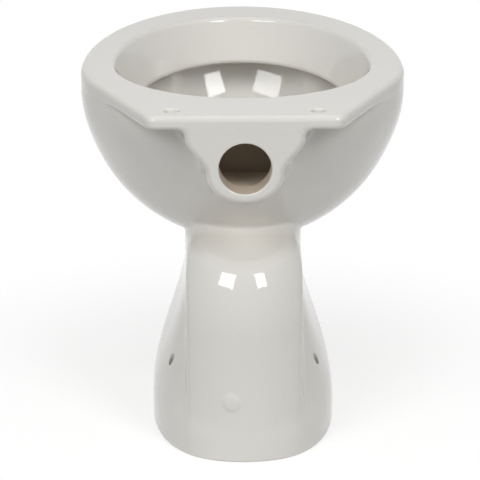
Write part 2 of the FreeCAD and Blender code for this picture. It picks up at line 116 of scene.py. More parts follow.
# Flush inlet horn
INLET_Z = mounts["inlet"]["pos_m"][2]
INLET_RADIUS = mounts["inlet"]["dims"]["r_mm"] * MILLIMETRE
HORN_MIDDLE = INLET_Z - 0.008
HORN_HALF = 0.040
HORN_DROP = 0.031
HORN_TOP_HALF = 0.0625
HORN_RISE = 0.040
HORN_DRAFT = 0.16
HORN_DEPTH = 0.110
HORN_EDGE = 0.009
CHAMBER_HALF = 0.036
CHAMBER_START = REAR + 0.027
CHAMBER_END = REAR + 0.078
INLET_DEPTH = 0.08
INLET_FLARE = 0.002
BORE_SKIN = 0.0015

# Pedestal: neck, flanks, foot and trap cover
FOOT_LOW, FOOT_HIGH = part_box("pedestal")
FOOT_MIDDLE = -0.045
FOOT_HALF = FOOT_HIGH.x
FOOT_REAR = REAR + 0.011
FOOT_FRONT = FOOT_HIGH.y
FOOT_UPRIGHT = 0.020
FOOT_POWER = 2.6
FOOT_EDGE = 0.0035
WAIST = 0.178
NECK_HALF = 0.0648
NECK_REAR = REAR + 0.104
NECK_FRONT = FOOT_FRONT - 0.004
NECK_POWER = 4.5
NECK_TOP = 0.300
NECK_TUCK = 0.018
NECK_TUCK_RISE = 0.050
COVER_HALF = 0.0640
COVER_REAR = FOOT_LOW.y
COVER_ROUND = 0.093
COVER_MIDDLE = COVER_REAR + COVER_ROUND
COVER_FRONT = -0.080
COVER_EDGE = 0.018
DOME_Z = 0.145
DOME_HEIGHT = 0.110
DOME_HALF = 0.086
DOME_START = 0.090
DOME_RISE = 0.120
ROOF_Z = 0.233
ROOF_Y = -0.120
ROOF_FALL = 0.14
ROOF_EDGE = 0.030
PLUG_X = -0.015
PLUG_Z = 0.071
PLUG_RADIUS = 0.0095
PLUG_PROUD = 0.0016
PLUG_POWER = 6
PLUG_END = 3
HOLLOW_TOP = CROWN_HIGH.z - 0.010
HOLLOW_DROP = 0.012
FLOOR_HOLE_SPAN = (-0.035, 0.04)

# Reach of the hollow fillets where one form runs into another
COVER_FILLET = 0.022
NECK_FILLET = 0.005
HORN_FILLET = 0.014
DECK_FILLET = 0.012
OVERHANG_SHARE = 0.6
LEAST_TURN = 0.20

# Points along the deck's plan outline
FRONT_STEPS = 160
SHOULDER_STEPS = 60
CORNER_STEPS = 40
STRAIGHT_STEPS = 60

# Grid of meridians round the pan's upright axis
AXIS_Y = FOOT_MIDDLE
COLUMNS = 456
REAR_TURN = -math.pi / 2
REAR_CLOSENESS = 3.8
REAR_SPREAD = 0.62
REAR_FALLOFF = 8
TURN_SAMPLES = 4001
TOP_BAND = 0.011
HEIGHT_STEPS = 240
DECK_STEPS = 24
TOP_STEPS = 10
APRON_STEPS = 12
APRON_BACK_STEPS = 8
APRON_FACE_STEPS = 14
RIM_ROWS = 60
BOWL_ROWS = 96
PEDESTAL_ROWS = 112
INSIDE_SAMPLES = 500
INSIDE_ROWS = 90
SLEEVE_ROWS = 16
HOLLOW_ROWS = 40
FOOT_EDGE_STEPS = 6
JOIN_STEPS = 5
SEAM_SPREAD = 4
NECK_SPREAD = 8

# Levels below which the horn and the bowl no longer shape a meridian's first line
HORN_LOWEST = 0.200
BOWL_LOWEST = 0.198
BOWL_BOTTOM = BOWL_EQUATOR - BOWL_DEPTH + 0.004
DECK_LIMIT = UNDERSIDE - 0.01

# Search for the skin
OUTSIDE_REACH = 0.29
LEAST_REACH = 0.01
WALK_ROUNDS = 60
WALK_SHARE = 0.6
LINE_ROUNDS = 10
GRID_ROUNDS = 5
LONGEST_MOVE = 0.004
LEAST_STEEP, MOST_STEEP = 0.5, 3
FIELD_STEP = 2e-4
ON_SKIN = 5e-5
TINY = 1e-9

# Drilled holes and shading
BAR_SIDES = 96
INLET_SIDES = 160
FLOOR_HOLE_SIDES = 48
FLARE_STEPS = 7
FLARE_RISE = 0.0001
BAR_OUTSIDE = 0.03
SHARP_DEGREES = 40
SAME_SIDE = 0.4
FACES_REAR = -0.3

# Finishes: scales of patches, ripple and specks, colours, span of roughness, bump
CHINA_IOR = 1.6
SCALE_SOCKETS = ("Patch Scale", "Ripple Scale", "Speck Scale")
SPECK_RADII = (0.05, 0.09)
GLAZE = {
    "scales": (9, 140, 60),
    "pale": (0.86, 0.842, 0.80),
    "deep": (0.835, 0.814, 0.765),
    "speck": (0.80, 0.775, 0.72),
    "rough": (0.045, 0.075),
    "ripple": (0.02, 0.0004),
}
BARE_CHINA = {
    "scales": (24, 420, 90),
    "pale": (0.66, 0.58, 0.48),
    "deep": (0.55, 0.46, 0.36),
    "speck": (0.38, 0.30, 0.21),
    "rough": (0.62, 0.82),
    "ripple": (0.25, 0.0006),
}
BARE_NODES = ("sump_bend", "crown_bend", "outlet_spigot", "floor_lug_left", "floor_lug_right")

# Studio: floor, surround and lamps with their place, size and power in watts
WHITE = (1, 1, 1, 1)
FLOOR_HALF = 6.0
TABLE_SPAN = (0.50, 1.20)
TABLE_TONE = 0.74
BEYOND_TABLE_TONE = 0.10
SHADOW_SPAN = (0.15, 0.50)
SHADOW_TONE = 0.45
SHADOW_GLOW = 0.68
SURROUND_COLOUR = (1, 0.99, 0.98, 1)
SURROUND_LIGHT = 0.21
LAMP_AIM = (0, -0.1, 0.25)
LAMPS = (
    ("left_lamp", (-1.30, -1.95, 2.05), (1.30, 1.10), 29.5),
    ("right_lamp", (1.26, -1.97, 2.05), (0.85, 1.10), 26.5),
    ("top_lamp", (0, 0.3, 2.6), (1.6, 1.6), 5.5),
)

# Camera, fitted to the photograph: pixels, metres and radians
IMAGE_PIXELS = 480
FOCAL_PIXELS = 2697.7
SENSOR_WIDTH = 36
CAMERA_DISTANCE = 2.930
CAMERA_HEIGHT = 1.2251
CAMERA_PITCH = 0.34222
CAMERA_SWING = 0.0148
CAMERA_TURN = 0.0008
NEAR_CLIP = 0.1


def smooth_step(share):
    """S-curve 3s^2 - 2s^3 of a share held between 0 and 1."""
    share = np.clip(share, 0, 1)
    return share * share * (3 - 2 * share)


def parts(spot):
    """x, y and z of an array of points."""
    return spot[..., 0], spot[..., 1], spot[..., 2]


def corner_arc(before, corner, after, radius, steps):
    """Points of the arc of a radius that touches the two straight lines meeting at a corner."""
    corner = np.array(corner, float)
    back = np.array(before, float) - corner
    ahead = np.array(after, float) - corner
    back /= np.linalg.norm(back)
    ahead /= np.linalg.norm(ahead)
    half = math.acos(np.clip(back @ ahead, -1, 1)) / 2
    middle = corner + (back + ahead) / np.linalg.norm(back + ahead) * radius / math.sin(half)
    start = corner + back * radius / math.tan(half) - middle
    end = corner + ahead * radius / math.tan(half) - middle
    swing = math.pi - 2 * half
    share = np.linspace(0, 1, steps)[:, None]
    arm = np.sin((1 - share) * swing) * start + np.sin(share * swing) * end
    return middle + arm / math.sin(swing)


def deck_outline():
    """Plan outline of deck and rim as turn, reach and lean about the axis.

    The front is half an ellipse, the sides run straight, then taper over a wide round
    shoulder to the narrower rear edge with its small corners. Lean is the cosine between
    the outline's own normal and the ray from the axis.
    """
    bend = np.linspace(math.pi / 2, 0, FRONT_STEPS)
    arch = FRONT - FRONT_ARCH_Y
    front = np.column_stack([HALF_WIDTH * np.cos(bend), FRONT_ARCH_Y + arch * np.sin(bend)])
    shoulder = (HALF_WIDTH, TAPER_Y)
    rear_corner = (DECK_REAR_HALF, REAR)
    side = (HALF_WIDTH, FRONT_ARCH_Y)
    round_shoulder = corner_arc(side, shoulder, rear_corner, SHOULDER, SHOULDER_STEPS)
    round_corner = corner_arc(shoulder, rear_corner, (0, REAR), DECK_CORNER, CORNER_STEPS)
    share = np.linspace(0, 1, STRAIGHT_STEPS)[1:, None]
    taper = round_shoulder[-1] + (round_corner[0] - round_shoulder[-1]) * share[:-1]
    rear = round_corner[-1] + (np.array([0, REAR]) - round_corner[-1]) * share
    right = np.vstack([front, round_shoulder, taper, round_corner, rear])
    left = right[-2:0:-1] * (-1, 1)
    line = np.vstack([right, left])
    along = np.roll(line, -1, axis=0) - np.roll(line, 1, axis=0)
    ray = line - (0, AXIS_Y)
    reach = np.linalg.norm(ray, axis=1)
    lean = np.abs(along[:, 0] * ray[:, 1] - along[:, 1] * ray[:, 0])
    lean /= reach * np.linalg.norm(along, axis=1)
    return np.arctan2(ray[:, 1], ray[:, 0]), reach, lean


OUTLINE_TURN, OUTLINE_REACH, OUTLINE_LEAN = deck_outline()


def round_the_axis(spot, value):
    """Value of the deck outline's table on each point's side of the pan."""
    turn = np.arctan2(spot[..., 1] - AXIS_Y, spot[..., 0])
    return np.interp(turn, OUTLINE_TURN, value, period=2 * math.pi)


def slab_field(spot):
    """Signed distance to the deck slab: plan outline crossed with its thickness, edges rounded.

    The lower edge is rounded only as far as the deck stands out over the bowl.
    """
    x, y, z = parts(spot)
    out = np.hypot(x, y - AXIS_Y) - round_the_axis(spot, OUTLINE_REACH)
    out = out * round_the_axis(spot, OUTLINE_LEAN)
    below = np.minimum(EDGE_BELOW, OVERHANG_SHARE * round_the_axis(spot, OUTLINE_OVERHANG))
    edge = np.where(z > EDGE_SPLIT, EDGE_ABOVE, below)
    side = out + edge
    flat = np.where(z > EDGE_SPLIT, z - TOP, UNDERSIDE - z) + edge
    beyond = np.hypot(np.maximum(side, 0), np.maximum(flat, 0))
    return beyond + np.minimum(np.maximum(side, flat), 0) - edge


def ellipsoid_field(spot):
    """Signed distance to the bowl's plain form: half an ellipsoid, longer in front than behind."""
    x, y, z = parts(spot)
    reach = np.where(y > WIDEST_Y, BOWL_FRONT, BOWL_REAR)
    across = x / HALF_WIDTH
    along = (y - WIDEST_Y) / reach
    down = np.maximum(BOWL_EQUATOR - z, 0) / BOWL_DEPTH
    level = np.sqrt(across**2 + along**2 + down**2) + TINY
    slope = np.sqrt((across / HALF_WIDTH) ** 2 + (along / reach) ** 2 + (down / BOWL_DEPTH) ** 2)
    return (level - 1) / (slope / level + TINY)


def deck_overhang():
    """Overhang of the deck over the bowl, and the bowl's swell that meets the deck, per turn.

    The swell is the smooth smaller of the plain overhang and its own limit. Where the rim is
    narrower than the ellipsoid it is negative, and the bowl draws in.
    """
    x = OUTLINE_REACH * np.cos(OUTLINE_TURN)
    y = AXIS_Y + OUTLINE_REACH * np.sin(OUTLINE_TURN)
    plain = ellipsoid_field(np.stack([x, y, np.full_like(x, BOWL_EQUATOR)], axis=-1))
    share = np.clip(0.5 + 0.5 * (BOWL_SWELL - plain) / BOWL_SWELL_ROUND, 0, 1)
    swell = BOWL_SWELL + (plain - BOWL_SWELL) * share - BOWL_SWELL_ROUND * share * (1 - share)
    return plain - swell, swell


OUTLINE_OVERHANG, OUTLINE_SWELL = deck_overhang()


def bowl_field(spot):
    """Signed distance to the bowl: the ellipsoid, swollen near the rim to meet the deck."""
    z = spot[..., 2]
    down = (BOWL_EQUATOR - z) / BOWL_DEPTH
    swell = round_the_axis(spot, OUTLINE_SWELL) * (1 - smooth_step(down / BOWL_SWELL_DEPTH))
    return np.maximum(ellipsoid_field(spot) - swell, z - BOWL_COVERED)


def oval_gap(x, y, half, reach, power):
    """Distance along the ray to a superellipse |x/half|^power + |y/reach|^power = 1."""
    level = (np.abs(x / half) ** power + np.abs(y / reach) ** power) ** (1 / power)
    away = np.hypot(x, y)
    return np.where(away > TINY, away - away / np.maximum(level, TINY), -half)


def flank_field(spot):
    """Signed distance to neck and flanks: superellipses that flare to the foot on an S-curve.

    Above the waist the neck's rear draws in under the trap cover's roof.
    """
    x, y, z = parts(spot)
    flare = 1 - smooth_step((z - FOOT_UPRIGHT) / (WAIST - FOOT_UPRIGHT))
    half = NECK_HALF + (FOOT_HALF - NECK_HALF) * flare
    rear = FOOT_MIDDLE - NECK_REAR + (NECK_REAR - FOOT_REAR) * flare
    rear = rear - NECK_TUCK * smooth_step((z - WAIST) / NECK_TUCK_RISE)
    front = NECK_FRONT - FOOT_MIDDLE + (FOOT_FRONT - NECK_FRONT) * flare
    power = NECK_POWER + (FOOT_POWER - NECK_POWER) * flare
    reach = np.where(y > FOOT_MIDDLE, front, rear)
    return np.maximum(oval_gap(x, y - FOOT_MIDDLE, half, reach, power), z - NECK_TOP)


def cover_dome_field(spot):
    """Signed distance to the trap cover's rear: an upright cylinder ending in an ellipsoid.

    Its plan grows narrower towards the dome. The plug is a low round bump on it.
    """
    x, y, z = parts(spot)
    above = np.maximum(z - DOME_Z, 0) * COVER_ROUND / DOME_HEIGHT
    half = COVER_ROUND + (DOME_HALF - COVER_ROUND) * smooth_step((z - DOME_START) / DOME_RISE)
    gap = np.sqrt((x * COVER_ROUND / half) ** 2 + (y - COVER_MIDDLE) ** 2 + above**2) - COVER_ROUND
    off = np.hypot(x - PLUG_X, z - PLUG_Z) / PLUG_RADIUS
    bump = PLUG_PROUD * np.exp(-np.minimum(off, PLUG_END) ** PLUG_POWER)
    behind = np.where(y < COVER_MIDDLE, gap - bump, z - TOP)
    return np.maximum(behind, y - COVER_FRONT)


def cover_side_field(spot):
    """Signed distance to the slab between the trap cover's two upright sides."""
    return np.abs(spot[..., 0]) - COVER_HALF


def cover_roof_field(spot):
    """Signed distance to the sloping plane that ends the dome under the bowl."""
    y, z = spot[..., 1], spot[..., 2]
    return (z - ROOF_Z - ROOF_FALL * (y - ROOF_Y)) / math.hypot(1, ROOF_FALL)


def horn_outline_field(spot):
    """Signed distance to the horn from behind: half an ellipse below, widening to the deck."""
    x, y, z = parts(spot)
    wide = HORN_HALF + (HORN_TOP_HALF - HORN_HALF) * smooth_step((z - HORN_MIDDLE) / HORN_RISE)
    gap = oval_gap(x, np.maximum(HORN_MIDDLE - z, 0), wide, HORN_DROP, 2)
    draft = HORN_DRAFT * np.clip(y - REAR, 0, HORN_DEPTH)
    gap = np.maximum(gap - draft, z - BOWL_COVERED)
    return np.maximum(gap, y - REAR - HORN_DEPTH)


def horn_face_field(spot):
    """Signed distance to the flat rear face that horn and deck share."""
    return REAR - spot[..., 1]


def with_normal(field, spot):
    """A field's distance evened out by its steepness, and its unit gradient.

    The gradient comes from forward differences.
    """
    gap = field(spot)
    steps = np.eye(3) * FIELD_STEP
    slope = np.stack([field(spot + step) - gap for step in steps], axis=-1) / FIELD_STEP
    steep = np.linalg.norm(slope, axis=-1)
    return gap / np.clip(steep, LEAST_STEEP, MOST_STEEP), slope / (steep[..., None] + TINY)


def blended(first, second, reach, sign=1):
    """Smooth union (sign 1) or smooth overlap (sign -1) of two distances with their normals.

    The reach shrinks with the angle between the two normals, so forms that run into each
    other flush stay as they are, and forms that meet at an angle get a fillet.
    """
    turned = np.clip(1 - np.sum(first[1] * second[1], axis=-1), LEAST_TURN, 1)
    reach = reach * turned + TINY
    share = np.clip(0.5 + 0.5 * sign * (second[0] - first[0]) / reach, 0, 1)
    gap = second[0] + (first[0] - second[0]) * share - sign * reach * share * (1 - share)
    normal = second[1] + (first[1] - second[1]) * share[..., None]
    return gap, normal / (np.linalg.norm(normal, axis=-1, keepdims=True) + TINY)


def pan_field(spot):
    """Signed distance and normal of the whole outer skin: all forms run together with fillets."""
    sides = with_normal(cover_side_field, spot)
    cover = blended(with_normal(cover_dome_field, spot), sides, COVER_EDGE, sign=-1)
    cover = blended(cover, with_normal(cover_roof_field, spot), ROOF_EDGE, sign=-1)
    pedestal = blended(cover, with_normal(flank_field, spot), COVER_FILLET)
    body = blended(pedestal, with_normal(bowl_field, spot), NECK_FILLET)
    face = with_normal(horn_face_field, spot)
    horn = blended(with_normal(horn_outline_field, spot), face, HORN_EDGE, sign=-1)
    body = blended(body, horn, HORN_FILLET)
    overhang = round_the_axis(spot, OUTLINE_OVERHANG)
    fillet = np.minimum(DECK_FILLET, OVERHANG_SHARE * overhang)
    return blended(body, with_normal(slab_field, spot), fillet)


def settled(spot, rounds):
    """Points moved along the skin's normal until they lie on it."""
    for _ in range(rounds):
        gap, normal = pan_field(spot)
        spot = spot - np.clip(gap, -LONGEST_MOVE, LONGEST_MOVE)[..., None] * normal
    return spot


def column_turns():
    """Turns of the meridians, closer together at the rear, where horn and trap cover are."""
    turn = np.linspace(REAR_TURN, REAR_TURN + 2 * math.pi, TURN_SAMPLES)
    gap = np.minimum(turn - REAR_TURN, REAR_TURN + 2 * math.pi - turn)
    weight = 1 + REAR_CLOSENESS / (1 + (gap / REAR_SPREAD) ** REAR_FALLOFF)
    run = np.concatenate([[0], np.cumsum((weight[1:] + weight[:-1]) / 2)])
    return np.interp(np.arange(COLUMNS) / COLUMNS * run[-1], run, turn)


TURN = column_turns()
RAY = np.stack([np.cos(TURN), np.sin(TURN)], axis=-1)


def spots(reach, height):
    """Points at a reach from the axis along each meridian, at a height."""
    reach, height = np.broadcast_arrays(reach, height)
    return np.stack([reach * RAY[:, 0], AXIS_Y + reach * RAY[:, 1], height], axis=-1)


def reach_of(fields, height, inset=0.0):
    """Reach of the outermost of several forms along each meridian, walked in from outside."""
    reach = np.full(np.broadcast_shapes(np.shape(height), (COLUMNS,)), OUTSIDE_REACH)
    for _ in range(WALK_ROUNDS):
        spot = spots(reach, height)
        gap = np.min([field(spot) for field in fields], axis=0) + inset
        reach = np.maximum(reach - WALK_SHARE * gap, LEAST_REACH)
    return reach


def cover_field(spot):
    """Trap cover with plain edges."""
    fields = (cover_dome_field, cover_side_field, cover_roof_field)
    return np.max([field(spot) for field in fields], axis=0)


def horn_field(spot):
    """Horn with plain edges."""
    return np.maximum(horn_outline_field(spot), horn_face_field(spot))


def lengths_along(line):
    """Arc length from the first row to each row, column by column."""
    step = np.linalg.norm(np.diff(line, axis=0), axis=-1)
    return np.vstack([np.zeros(line.shape[1]), np.cumsum(step, axis=0)])


def walked(line, mark):
    """Points of each column's line at the marked arc lengths."""
    run = lengths_along(line)
    before = np.clip((run[None] <= mark[:, None]).sum(axis=1) - 1, 0, len(line) - 2)
    low = np.take_along_axis(run, before, 0)
    high = np.take_along_axis(run, before + 1, 0)
    share = np.clip((mark - low) / (high - low + TINY), 0, 1)[..., None]
    first = np.take_along_axis(line, before[..., None], 0)
    second = np.take_along_axis(line, before[..., None] + 1, 0)
    return first + (second - first) * share


def even_rows(line, start, end, count):
    """Rows spread evenly over the arc length from start to end of each column."""
    share = np.linspace(0, 1, count)[:, None]
    return walked(line, start + (end - start) * share)


def round_average(value, spread):
    """Running average of one value per column, closed round the pan."""
    kernel = np.hanning(2 * spread + 1)
    kernel /= kernel.sum()
    return np.convolve(np.concatenate([value[-spread:], value, value[:spread]]), kernel, "valid")


def outer_skin():
    """Rows of the outer skin: rim from its top over the deck edge, bowl, and pedestal to the foot.

    Each meridian starts as the plain outline of the forms, top, edge, underside and body,
    is drawn onto the skin, and is then divided evenly between deck, neck crease and foot.
    """
    deck_reach = np.interp(TURN, OUTLINE_TURN, OUTLINE_REACH, period=2 * math.pi)
    height = np.linspace(UNDERSIDE, FOOT_EDGE, HEIGHT_STEPS)[:, None]
    above = reach_of((bowl_field, horn_field), np.maximum(height, HORN_LOWEST))
    bowl = reach_of((bowl_field,), np.maximum(height, BOWL_BOTTOM))
    pedestal = reach_of((flank_field, cover_field), height)
    upper = np.where(height > HORN_LOWEST, above, bowl * (height > BOWL_LOWEST))
    body = np.maximum(upper, pedestal)
    corner = np.minimum(body[0], deck_reach)
    under_deck = np.where(height > DECK_LIMIT, np.minimum(body, deck_reach), body)
    share = np.linspace(0, 1, DECK_STEPS, endpoint=False)[:, None]
    line = np.concatenate([
        spots(deck_reach - TOP_BAND * (1 - share[::2]), TOP),
        spots(deck_reach, TOP - DECK_THICKNESS * share[::2]),
        spots(deck_reach + (corner - deck_reach) * share, UNDERSIDE),
        spots(under_deck, height),
    ])
    deck_rows = len(line) - len(height)
    crossed = np.argmax(pedestal >= np.where(height > HORN_LOWEST, bowl, 0), axis=0)
    line = settled(line, LINE_ROUNDS)
    run = lengths_along(line)
    at_neck = np.take_along_axis(run, (deck_rows + crossed)[None], 0)[0]
    seam = round_average(run[deck_rows], SEAM_SPREAD)
    neck = round_average(at_neck, NECK_SPREAD)
    rim = even_rows(line, 0, seam, RIM_ROWS)
    bowl = even_rows(line, seam, neck, BOWL_ROWS)
    pedestal = even_rows(line, neck, run[-1], PEDESTAL_ROWS)
    joined = settled(np.concatenate([rim[:-1], bowl[:-1], pedestal]), GRID_ROUNDS)
    joined[0, :, 2] = TOP
    joined = np.clip(joined, (-HALF_WIDTH, REAR, 0), (HALF_WIDTH, FRONT, TOP))
    first, second = RIM_ROWS - 1, RIM_ROWS + BOWL_ROWS - 2
    return joined[: first + 1], joined[first : second + 1], joined[second:]


def rounded_profile(points, radii, steps):
    """Two-dimensional line through points, with an arc at each inner corner that has a radius."""
    line = [np.array(points[:1])]
    for before, corner, after, radius in zip(points, points[1:], points[2:], radii):
        line.append(corner_arc(before, corner, after, radius, steps))
    line.append(np.array(points[-1:]))
    return np.vstack(line)


def ellipse_reach(half, length):
    """Reach along each meridian from the axis to an ellipse about the mouth's middle."""
    square = RAY[:, 0] ** 2 / half**2 + RAY[:, 1] ** 2 / length**2
    offset = AXIS_Y - MOUTH_MIDDLE
    slope = RAY[:, 1] * offset / length**2
    rest = (offset / length) ** 2 - 1
    return (-slope + np.sqrt(slope**2 - square * rest)) / square


def mouth_reach(front_inset, side_inset):
    """Reach along each meridian of the egg-shaped mouth: two half ellipses drawn in by insets."""
    half = MOUTH_HALF - side_inset
    front = ellipse_reach(half, MOUTH_FRONT - MOUTH_MIDDLE - front_inset)
    rear = ellipse_reach(half, MOUTH_MIDDLE - MOUTH_REAR - side_inset)
    return np.where(AXIS_Y + RAY[:, 1] * front > MOUTH_MIDDLE, front, rear)


def apron_profile(lean):
    """Inset and height from the apron's hidden back, round its lower edge, to the mouth's edge."""
    back = lean * DECK_THICKNESS / APRON_DEPTH - APRON_WALL
    profile = rounded_profile(
        [(back, UNDERSIDE), (lean - APRON_WALL, APRON_LOW), (lean, APRON_LOW), (0, TOP),
         (-MOUTH_EDGE, TOP)],
        [APRON_EDGE, APRON_EDGE, MOUTH_EDGE], APRON_STEPS)
    rise = 2 * APRON_STEPS
    return np.concatenate([
        np.linspace(profile[0], profile[1], APRON_BACK_STEPS, endpoint=False),
        profile[1:rise],
        np.linspace(profile[rise], profile[rise + 1], APRON_FACE_STEPS, endpoint=False),
        profile[rise + 1:],
    ])


def rim_rows(skin):
    """Closed rim: outer skin, hidden underside, apron and top, one loop carried round the pan."""
    front, side = apron_profile(APRON_LEAN_FRONT), apron_profile(APRON_LEAN_SIDE)
    height = side[:, 1:] + (front - side)[:, 1:] * np.maximum(RAY[:, 1], 0) ** 2
    apron = spots(mouth_reach(front[:, :1], side[:, :1]), height)
    share = np.linspace(0, 1, TOP_STEPS)[1:-1, None, None]
    top = apron[-1] + (skin[0] - apron[-1]) * share
    inner = skin[-1].copy()
    inner[:, :2] = (inner[:, :2] - (0, AXIS_Y)) * RIM_SEAM_SHARE + (0, AXIS_Y)
    inner[:, 2] = UNDERSIDE
    under = inner + (apron[0] - inner) * share
    return np.concatenate([skin, inner[None], under, apron, top])


def bowl_inside(height, grow=0.0):
    """Points of the bowl's inner face at a height for each meridian.

    Each level is two half ellipses. Their half width, rear and front are the smooth larger
    of an ellipsoid and the well, and the crown of the trap pushes the rear forward.
    """
    height = np.broadcast_to(height, np.broadcast_shapes(np.shape(height), (COLUMNS,)))
    share = (height - COLLAR) / (INSIDE_TOP - COLLAR)
    sink = np.clip((INSIDE_TOP - height) / (BOWL_DEPTH - WALL), 0, 1)
    open_share = np.sqrt(1 - sink**2)
    lead = WELL_LEAD * np.clip((height - COLLAR) / (WELL_TOP - COLLAR), 0, WELL_LEAD_MOST)
    middle = WELL_Y + (WIDEST_Y - WELL_Y) * np.clip(share, 0, 1)
    half = smooth_larger((HALF_WIDTH - WALL) * open_share, WELL_HALF + lead)
    front = smooth_larger(WIDEST_Y + (BOWL_FRONT - WALL) * open_share,
                          WELL_Y + WELL_HALF + lead)
    rise = np.clip(height - CROWN_Z, 0, CROWN_CLEAR)
    crown = np.where(height < CROWN_Z + CROWN_CLEAR,
                     CROWN_Y + np.sqrt(CROWN_CLEAR**2 - rise**2), FAR_BEHIND)
    rear = smooth_larger(WIDEST_Y - (BOWL_REAR - WALL) * open_share, crown)
    rear = np.minimum(rear, WELL_Y - WELL_HALF)
    reach = np.where(RAY[:, 1] > 0, front - middle, middle - rear) + grow
    away = 1 / np.sqrt((RAY[:, 0] / (half + grow)) ** 2 + (RAY[:, 1] / reach) ** 2)
    return np.stack([away * RAY[:, 0], middle + away * RAY[:, 1], height], axis=-1)


def smooth_larger(first, second):
    """Larger of two values, with the change from one to the other rounded."""
    share = np.clip(0.5 + 0.5 * (first - second) / WELL_BLEND, 0, 1)
    return second + (first - second) * share + WELL_BLEND * share * (1 - share)


def bowl_rows(skin):
    """Closed bowl: outer skin, hidden sleeve down to the collar, inner face up to the rim."""
    fine = bowl_inside(np.linspace(COLLAR, UNDERSIDE - RIM_GAP, INSIDE_SAMPLES)[:, None])
    inside = even_rows(fine, 0, lengths_along(fine)[-1], INSIDE_ROWS)
    sleeve_top = np.minimum(skin[-1][:, 2] - SLEEVE_DROP, SLEEVE_TOP)
    share = np.linspace(1, 0, SLEEVE_ROWS)[:, None]
    sleeve = bowl_inside(COLLAR + (sleeve_top - COLLAR) * share, SLEEVE)
    share = np.linspace(0, 1, JOIN_STEPS)[1:-1, None, None]
    return np.concatenate([
        skin,
        skin[-1] + (sleeve[0] - skin[-1]) * share,
        sleeve,
        sleeve[-1] + (inside[0] - sleeve[-1]) * share,
        inside,
        inside[-1] + (skin[0] - inside[-1]) * share,
    ])


def pedestal_rows(skin):
    """Closed pedestal: outer skin, rounded foot edge, foot ring and hollow up to the neck."""
    foot = skin[-1]
    reach = np.linalg.norm(foot[:, :2] - (0, AXIS_Y), axis=1)
    swing = np.linspace(0, math.pi / 2, FOOT_EDGE_STEPS)[1:, None]
    edge = spots(reach - FOOT_EDGE * (1 - np.cos(swing)), FOOT_EDGE * (1 - np.sin(swing)))
    top = np.minimum(skin[0][:, 2] - HOLLOW_DROP, HOLLOW_TOP)
    height = top * np.linspace(0, 1, HOLLOW_ROWS)[:, None]
    hollow = spots(reach_of((flank_field, cover_field), height, WALL), height)
    between = np.linspace(0, 1, JOIN_STEPS)[1:-1, None, None]
    ring = edge[-1] + (hollow[0] - edge[-1]) * between
    neck = hollow[-1] + (skin[0] - hollow[-1]) * between
    return np.concatenate([skin, edge, ring, hollow, neck])


def ring_mesh(name, rows):
    """Mesh of rows of points that closes on itself both ways, with its faces turned outwards."""
    count, columns = rows.shape[:2]
    row, column = np.meshgrid(np.arange(count), np.arange(columns), indexing="ij")
    down, on = (row + 1) % count, (column + 1) % columns
    face = np.stack([row * columns + column, down * columns + column, down * columns + on,
                     row * columns + on], axis=-1).reshape(-1, 4)
    place = rows.reshape(-1, 3)
    a, b, c = place[face[:, 0]], place[face[:, 1]], place[face[:, 2]]
    if np.sum(a * np.cross(b, c)) < 0:
        face = face[:, ::-1]
    mesh = bpy.data.meshes.new(name)
    mesh.from_pydata(place.tolist(), [], face.tolist())
    return mesh


def shown(name, mesh):
    """Object of a mesh, linked to the scene."""
    piece = bpy.data.objects.new(name, mesh)
    bpy.context.scene.collection.objects.link(piece)
    return piece


def ring_piece(name, rows):
    """Object of a closed mesh of rows, linked to the scene."""
    return shown(name, ring_mesh(name, rows))


def bar_mesh(name, start, axis, profile, sides=BAR_SIDES):
    """Closed turned bar: a profile of reach and length carried round an axis from a start."""
    axis = Vector(axis).normalized()
    across = axis.orthogonal().normalized()
    beside = axis.cross(across)
    swing = np.arange(sides) / sides * 2 * math.pi
    cosine, sine = np.cos(swing)[:, None], np.sin(swing)[:, None]
    round_axis = cosine * np.array(across) + sine * np.array(beside)
    reach, length = np.array(profile).T[..., None, None]
    rows = np.array(start) + length * np.array(axis) + reach * round_axis
    row, side = np.meshgrid(np.arange(len(profile) - 1), np.arange(sides), indexing="ij")
    on = (side + 1) % sides
    face = np.stack([row * sides + side, row * sides + on, (row + 1) * sides + on,
                     (row + 1) * sides + side], axis=-1).reshape(-1, 4).tolist()
    last = (len(profile) - 1) * sides
    face += [list(range(sides))[::-1], list(range(last, last + sides))]
    mesh = bpy.data.meshes.new(name)
    mesh.from_pydata(rows.reshape(-1, 3).tolist(), [], face)
    return mesh


def drilled(piece, *bars):
    """The piece with bars cut out of it, as a finished mesh."""
    cutters = [shown(bar.name, bar) for bar in bars]
    for cutter in cutters:
        modifier = piece.modifiers.new(cutter.name, "BOOLEAN")
        modifier.operation = "DIFFERENCE"
        modifier.solver = "EXACT"
        modifier.object = cutter
    cut = piece.evaluated_get(bpy.context.evaluated_depsgraph_get())
    shaped = bpy.data.meshes.new_from_object(cut)
    piece.modifiers.clear()
    piece.data = shaped
    for cutter in cutters:
        bpy.data.objects.remove(cutter)
    return piece


def block_mesh(name, low, high):
    """Closed upright block between two corners."""
    corners = list(itertools.product(*zip(low, high)))
    faces = [(0, 1, 3, 2), (4, 6, 7, 5), (0, 4, 5, 1), (2, 3, 7, 6), (0, 2, 6, 4), (1, 5, 7, 3)]
    mesh = bpy.data.meshes.new(name)
    mesh.from_pydata(corners, [], faces)
    return mesh


def vertex_places(mesh):
    """Places of a mesh's vertices as one array."""
    place = np.empty(len(mesh.vertices) * 3)
    mesh.vertices.foreach_get("co", place)
    return place.reshape(-1, 3)


def skin_normals(place):
    """Unit gradient of the outer skin by central differences."""
    slope = np.stack([pan_field(place + step)[0] - pan_field(place - step)[0]
                      for step in np.eye(3) * FIELD_STEP], axis=-1)
    return slope / (np.linalg.norm(slope, axis=-1, keepdims=True) + TINY)


